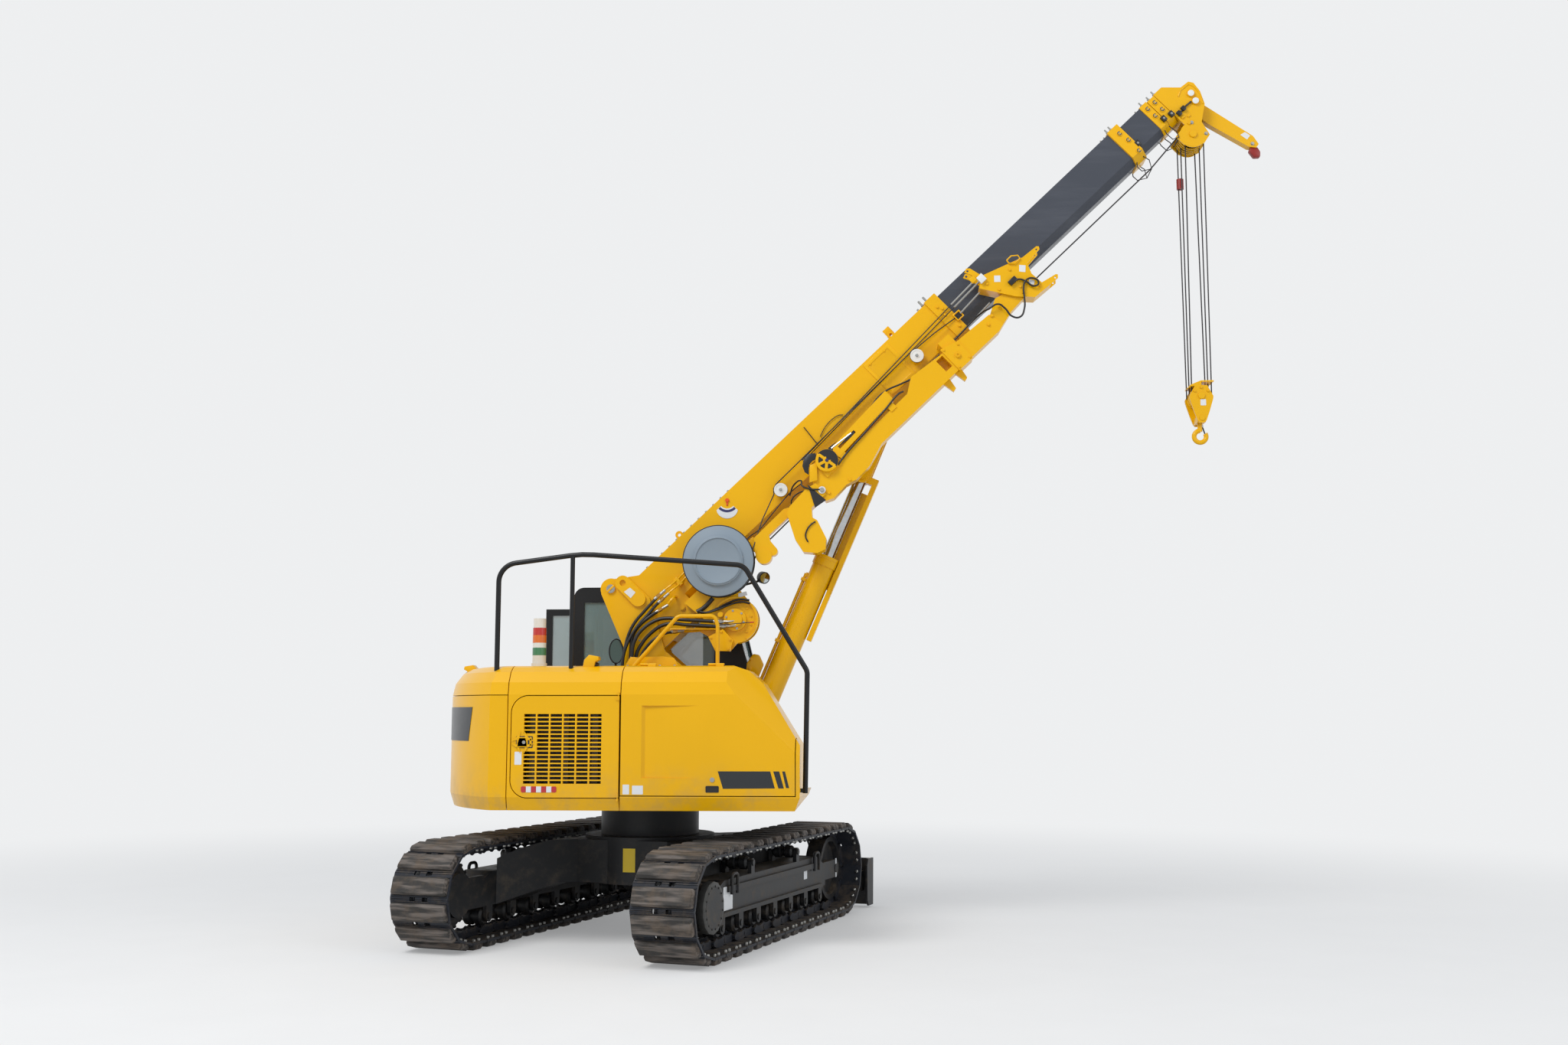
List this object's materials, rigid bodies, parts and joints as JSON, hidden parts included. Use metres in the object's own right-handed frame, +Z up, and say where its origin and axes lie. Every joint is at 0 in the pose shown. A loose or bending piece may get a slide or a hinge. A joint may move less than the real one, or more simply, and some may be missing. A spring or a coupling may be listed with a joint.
{
  "type": "crawler crane with telescopic boom",
  "caption": "Compact crawler crane: slewing upper body with open cab and telescopic boom on rubber-padded tracks with a dozer blade.",
  "frame": {"origin": "on the ground under the slewing axis", "axes": "+X forward along the boom, +Y left towards the cab, +Z up"},
  "size_m": [6.9653, 4.672, 7.177],
  "materials": {
    "yellow_paint": "gloss",
    "chassis_paint": "semi-gloss",
    "tube_paint": "gloss",
    "reel_paint": "satin",
    "black_paint": "semi-gloss",
    "track_rubber": "matte",
    "rod_chrome": "polished",
    "rope_steel": "greased wire",
    "pane_glass": "clear",
    "seat_fabric": "matte",
    "lamp_lens": "clear and coloured",
    "hook_steel": "dull",
    "red_paint": "satin",
    "white_plastic": "gloss"
  },
  "bodies": {
    "undercarriage": {"carbody": "chassis_paint", "track_frames": "chassis_paint", "track_right": "track_rubber", "track_left": "track_rubber", "sprockets": "chassis_paint", "idlers": "chassis_paint", "track_rollers": "chassis_paint"},
    "blade": {"blade": "chassis_paint"},
    "blade_barrel": {"blade_barrel": "chassis_paint"},
    "blade_rod": {"blade_rod": "rod_chrome"},
    "upper": {"revolving_frame": "yellow_paint", "boom_tower": "yellow_paint", "counterweight": "yellow_paint", "engine_block": "chassis_paint", "right_shell": "yellow_paint", "rear_shell": "yellow_paint", "cab_shell": "black_paint", "cab_glass": "pane_glass", "cab_seat": "seat_fabric", "guard_rail": "black_paint", "handrail": "yellow_paint", "lamp_tower": "lamp_lens"},
    "grille_door": {"grille_door": "yellow_paint"},
    "front_door": {"front_door": "yellow_paint"},
    "engine_hood": {"engine_hood": "yellow_paint"},
    "cab_door": {"cab_door": "black_paint", "door_glass": "pane_glass"},
    "boom": {"boom_base": "yellow_paint", "winch_frame": "yellow_paint", "stowed_jib": "yellow_paint", "guide_sheaves": "white_plastic"},
    "winch_drum": {"winch_drum": "chassis_paint"},
    "cable_reel": {"cable_reel": "reel_paint"},
    "luff_barrel": {"luff_barrel": "yellow_paint"},
    "luff_rod": {"luff_rod": "rod_chrome"},
    "boom_2": {"boom_2": "tube_paint"},
    "boom_3": {"boom_3": "tube_paint"},
    "boom_4": {"boom_4": "tube_paint"},
    "boom_5": {"boom_5": "yellow_paint", "head_sheaves": "chassis_paint"},
    "falls": {"falls": "rope_steel", "limit_weight": "red_paint"},
    "hook_block": {"hook_block": "yellow_paint"},
    "hook": {"hook": "hook_steel"}
  },
  "joints": [
    {"name": "slew", "type": "hinge", "parent": "undercarriage", "child": "upper", "pos_m": [0, 0, 1.03], "axis": [0, 0, 1], "continuous": true},
    {"name": "blade_lift", "type": "hinge", "parent": "undercarriage", "child": "blade", "pos_m": [0.21651, 0.68668, 0.43], "axis": [0.9537, -0.3007, 0], "range_deg": [-8, 16]},
    {"name": "blade_barrel_pivot", "type": "hinge", "parent": "undercarriage", "child": "blade_barrel", "pos_m": [0.18042, 0.57223, 0.69], "axis": [0.9537, -0.3007, 0], "range_deg": [-6.6, 13]},
    {"name": "blade_rod_slide", "type": "slide", "parent": "blade_barrel", "child": "blade_rod", "axis": [0.2813, 0.8922, -0.3534], "range_m": [-0.061, 0.031]},
    {"name": "grille_door_hinge", "type": "hinge", "parent": "upper", "child": "grille_door", "pos_m": [-0.072, -1.251, 1.53], "axis": [0, 0, 1], "range_deg": [0, 90]},
    {"name": "front_door_hinge", "type": "hinge", "parent": "upper", "child": "front_door", "pos_m": [0.6, -1.03, 2.16], "axis": [-1, 0, 0], "range_deg": [0, 62]},
    {"name": "engine_hood_hinge", "type": "hinge", "parent": "upper", "child": "engine_hood", "pos_m": [-0.796, 0.14, 2.16], "axis": [0, 1, 0], "range_deg": [0, 50]},
    {"name": "cab_door_hinge", "type": "hinge", "parent": "upper", "child": "cab_door", "pos_m": [-0.45, 1.262, 2], "axis": [0, 0, -1], "range_deg": [0, 180]},
    {"name": "luff", "type": "hinge", "parent": "upper", "child": "boom", "pos_m": [-0.317, 0, 2.815], "axis": [0, -1, 0], "range_deg": [-21.5, 34.5]},
    {"name": "luff_barrel_pivot", "type": "hinge", "parent": "upper", "child": "luff_barrel", "pos_m": [0.7, 0, 1.25], "axis": [0, -1, 0], "range_deg": [-13.4, 21.3]},
    {"name": "luff_rod_slide", "type": "slide", "parent": "luff_barrel", "child": "luff_rod", "axis": [0.393, 0, 0.9195], "range_m": [-0.56, 0.89]},
    {"name": "extend_2", "type": "slide", "parent": "boom", "child": "boom_2", "axis": [0.7254, 0, 0.6884], "range_m": [-2.02, 0.78]},
    {"name": "extend_3", "type": "slide", "parent": "boom_2", "child": "boom_3", "axis": [0.7254, 0, 0.6884], "range_m": [-0.24, 2.35]},
    {"name": "extend_4", "type": "slide", "parent": "boom_3", "child": "boom_4", "axis": [0.7254, 0, 0.6884], "range_m": [0, 2.6]},
    {"name": "extend_5", "type": "slide", "parent": "boom_4", "child": "boom_5", "axis": [0.7254, 0, 0.6884], "range_m": [0, 2.6]},
    {"name": "falls_hang", "type": "hinge", "parent": "boom_5", "child": "falls", "pos_m": [4.63378, 0, 6.70664], "axis": [0, -1, 0], "range_deg": [-35, 22]},
    {"name": "hoist", "type": "slide", "parent": "falls", "child": "hook_block", "axis": [0, 0, -1], "range_m": [-1.4, 3.9], "deforming": ["falls"]},
    {"name": "hook_swivel", "type": "hinge", "parent": "hook_block", "child": "hook", "pos_m": [4.63378, 0, 4.09], "axis": [0, 0, 1], "continuous": true},
    {"name": "winch_spin", "type": "hinge", "parent": "boom", "child": "winch_drum", "pos_m": [0.73211, -0.21, 2.54915], "axis": [0, -1, 0], "continuous": true},
    {"name": "reel_spin", "type": "hinge", "parent": "boom", "child": "cable_reel", "pos_m": [0.59897, -0.31, 3.02939], "axis": [0, -1, 0], "continuous": true}
  ],
  "couplings": [
    {"joint": "blade_barrel_pivot", "follows": "blade_lift", "ratio": 0.798},
    {"joint": "blade_rod_slide", "follows": "blade_lift", "m_per_rad": -0.211},
    {"joint": "luff_barrel_pivot", "follows": "luff", "ratio": 0.6106},
    {"joint": "luff_rod_slide", "follows": "luff", "m_per_rad": 1.4567},
    {"joint": "falls_hang", "follows": "luff", "ratio": -1},
    {"joint": "extend_5", "follows": "extend_4", "ratio": 1}
  ]
}
